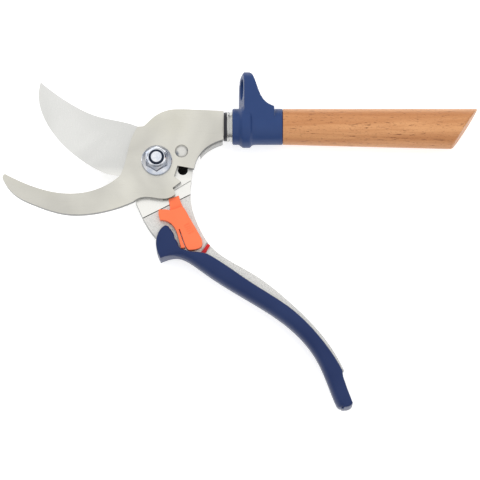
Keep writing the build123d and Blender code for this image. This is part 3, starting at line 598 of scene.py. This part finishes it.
def lathed(name, profile, centre):
    """A closed ring turned round the Z axis through centre, from its section as (radius, height) in mm."""
    mesh = bmesh.new()
    rows = []
    for step in range(RING_TURNS):
        angle = 2 * math.pi * step / RING_TURNS
        row = []
        for radius, height in profile:
            x = centre[0] + radius * MM * math.cos(angle)
            y = centre[1] + radius * MM * math.sin(angle)
            row.append(mesh.verts.new((x, y, height * MM)))
        rows.append(row)
    for step in range(RING_TURNS):
        near, far = rows[step], rows[(step + 1) % RING_TURNS]
        for index in range(len(profile)):
            onward = (index + 1) % len(profile)
            mesh.faces.new((near[index], far[index], far[onward], near[onward]))
    return smooth_piece(mesh, name)


def add_nut_ring():
    """Locking ring of the nut, its lip ridden up over the chamfer of the bolt's end."""
    low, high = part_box("nut_ring")
    floor, crown = low.z / MM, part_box("pivot_nut")[1].z / MM
    outer = (high.x - low.x) / 2 / MM
    bolt_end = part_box("pivot_bolt")[1].z / MM
    profile = [(outer, floor)]
    profile += [(outer - inset, crown + rise) for inset, rise in LIP_OUTSIDE]
    profile += [(outer - inset, bolt_end + rise) for inset, rise in LIP_INSIDE]
    profile.append((outer - LIP_INSIDE[-1][0], floor))
    piece = lathed("nut_ring_lip", profile, ((low.x + high.x) / 2, (low.y + high.y) / 2))
    stand_for(piece, "nut_ring")


LATCH_FACE = PLATE_FRONT - 0.1 * MM      # the latch's flat front, a little under the counter blade's
LATCH_RIDGE_COUNT = 5
LATCH_RIDGE_PITCH = 1.05 * MM
LATCH_RIDGE_R = 0.16 * MM
LATCH_RIDGE_HALF = 1.5 * MM
LATCH_RIDGE_SIDES = 8
LATCH_RIDGE_ENDS = ((-1, 0.3), (-0.85, 1), (0.85, 1), (1, 0.3))     # place along a ridge, share of its radius


def add_latch_ridges():
    """Fine raised ridges across the latch's body, for the thumb to push on."""
    joints = frame["record"]["behaviour"]["joints"]
    slide = Vector(next(joint["axis"] for joint in joints if joint["name"] == "latch_slide"))
    across = Vector((slide.y, -slide.x, 0)).normalized()
    stem_low, stem_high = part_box("latch_screw")
    stem = (stem_low + stem_high) / 2
    mesh = bmesh.new()
    for step in range(LATCH_RIDGE_COUNT):
        middle = stem + slide * (step - (LATCH_RIDGE_COUNT - 1) / 2) * LATCH_RIDGE_PITCH
        ends = []
        for end, swell in LATCH_RIDGE_ENDS:
            centre = Vector((middle.x, middle.y, LATCH_FACE)) + across * LATCH_RIDGE_HALF * end
            ring = []
            for side in range(LATCH_RIDGE_SIDES):
                angle = 2 * math.pi * side / LATCH_RIDGE_SIDES
                offset = slide * math.cos(angle) + Vector((0, 0, 1)) * math.sin(angle)
                ring.append(mesh.verts.new(centre + offset * LATCH_RIDGE_R * swell))
            ends.append(ring)
        for near, far in zip(ends, ends[1:]):
            for side in range(LATCH_RIDGE_SIDES):
                onward = (side + 1) % LATCH_RIDGE_SIDES
                mesh.faces.new((near[side], far[side], far[onward], near[onward]))
        mesh.faces.new(ends[0])
        mesh.faces.new(reversed(ends[-1]))
    piece = smooth_piece(mesh, "latch_ridges")
    piece.data.materials.append(MATERIALS["orange_nylon"])
    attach(piece, "latch")


add_bolster()
add_latch()
add_latch_ridges()
add_nut_ring()
add_grip()
add_hook_plate()


# ------------------------------------------------------------------ floor, world and lights
FLOOR_HALF = 3.0
FLOOR_GAP = 0.2 * MM        # the floor lies this far below the shears
FLOOR_GLOW = 0.55           # lifts the pale floor to the photo's white
FLOOR_DARK = (0.70, 0.70, 0.70)
FLOOR_LIGHT = (0.72, 0.72, 0.72)
HORIZON = 0.15              # strength of the world's light at the horizon
OVERHEAD = 1.08             # and overhead, from OVERHEAD_FROM up
OVERHEAD_FROM = 0.5
LIGHT_TARGET = Vector((0.03, -0.03, 0.0))


def add_stage():
    """Plain pale floor."""
    mesh = bpy.data.meshes.new("floor")
    corners = [(x * FLOOR_HALF, y * FLOOR_HALF, 0) for x, y in ((-1, -1), (1, -1), (1, 1), (-1, 1))]
    mesh.from_pydata(corners, [], [(0, 1, 2, 3)])
    floor = bpy.data.objects.new("floor", mesh)
    bpy.context.scene.collection.objects.link(floor)
    floor.location.z = -FLOOR_GAP
    s = Shader("floor", 0.9, Specular_IOR_Level=0.0)
    s.colour(s.mix(s.noise(300, 2.0), FLOOR_DARK, FLOOR_LIGHT))
    s.bsdf.inputs["Emission Color"].default_value = (1, 1, 1, 1)
    s.bsdf.inputs["Emission Strength"].default_value = FLOOR_GLOW
    mesh.materials.append(s.material)


def add_light(name, place, size, power):
    """Soft area light. It lights the surfaces but isn't mirrored in them, so that steel never burns out."""
    data = bpy.data.lights.new(name, "AREA")
    data.shape = "SQUARE"
    data.size = size
    data.energy = power
    light = bpy.data.objects.new(name, data)
    light.location = place
    light.rotation_euler = (LIGHT_TARGET - Vector(place)).to_track_quat("-Z", "Y").to_euler()
    light.visible_glossy = False
    bpy.context.scene.collection.objects.link(light)


def add_world():
    """Even studio light overhead, falling off to a greyer horizon that draws the metal's edges."""
    world = bpy.data.worlds.new("world")
    world.use_nodes = True
    tree = world.node_tree
    place = tree.nodes.new("ShaderNodeTexCoord")
    split = tree.nodes.new("ShaderNodeSeparateXYZ")
    rise = tree.nodes.new("ShaderNodeMapRange")
    tree.links.new(place.outputs["Generated"], split.inputs[0])
    tree.links.new(split.outputs["Z"], rise.inputs["Value"])
    rise.inputs["From Min"].default_value = 0.0
    rise.inputs["From Max"].default_value = OVERHEAD_FROM
    rise.inputs["To Min"].default_value = HORIZON
    rise.inputs["To Max"].default_value = OVERHEAD
    tree.links.new(rise.outputs["Result"], tree.nodes["Background"].inputs["Strength"])
    tree.nodes["Background"].inputs["Color"].default_value = (1, 1, 1, 1)
    bpy.context.scene.world = world


add_stage()
add_world()
add_light("key", place=(-0.35, 0.9, 0.9), size=0.7, power=6)
add_light("fill", place=(0.8, -0.9, 0.7), size=1.0, power=2)
